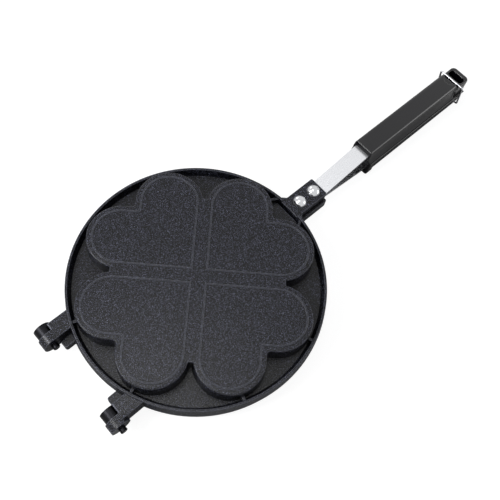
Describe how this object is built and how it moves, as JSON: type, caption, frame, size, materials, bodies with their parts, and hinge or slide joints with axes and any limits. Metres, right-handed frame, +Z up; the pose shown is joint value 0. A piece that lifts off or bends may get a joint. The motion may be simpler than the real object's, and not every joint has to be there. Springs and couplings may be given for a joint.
{
  "type": "stovetop waffle iron",
  "caption": "Hinged round cast pan for the hob that bakes heart-shaped waffles, with riveted steel strips, black half grips and a wire bail that keeps it closed",
  "frame": {"origin": "middle of the bounding box's base, which lies in the plane that the closed iron rests on", "axes": "+X from the round pan along the handle to the grips, +Y across, +Z up out of the closed lid"},
  "size_m": [0.5062, 0.2328, 0.0416],
  "materials": {
    "cast_coated": "cast aluminium with a fine speckled dark non-stick coating, satin",
    "strip_steel": "stainless strip, brushed along its length",
    "rivet_steel": "polished stainless rivets",
    "grip_black": "moulded black phenolic, semi-gloss",
    "wire_steel": "bright drawn stainless wire",
    "pin_steel": "plain turned steel"
  },
  "bodies": {
    "lower_half": {"lower_plate": "cast_coated", "hinge_pins": "pin_steel", "lower_handle_bar": "strip_steel", "lower_rivets": "rivet_steel", "lower_grip": "grip_black", "lower_grip_screw": "pin_steel"},
    "upper_half": {"upper_plate": "cast_coated", "upper_handle_bar": "strip_steel", "upper_rivets": "rivet_steel", "upper_grip": "grip_black", "upper_grip_screw": "pin_steel"},
    "bail": {"latch_bail": "wire_steel"}
  },
  "joints": [
    {"name": "lid_hinge", "type": "hinge", "parent": "lower_half", "child": "upper_half", "pos_m": [-0.24395, 0, 0.0208], "axis": [0, -1, 0], "range_deg": [0, 180]},
    {"name": "bail_swing", "type": "hinge", "parent": "lower_half", "child": "bail", "pos_m": [0.24165, 0, 0.0043], "axis": [0, 1, 0], "range_deg": [0, 150]}
  ]
}
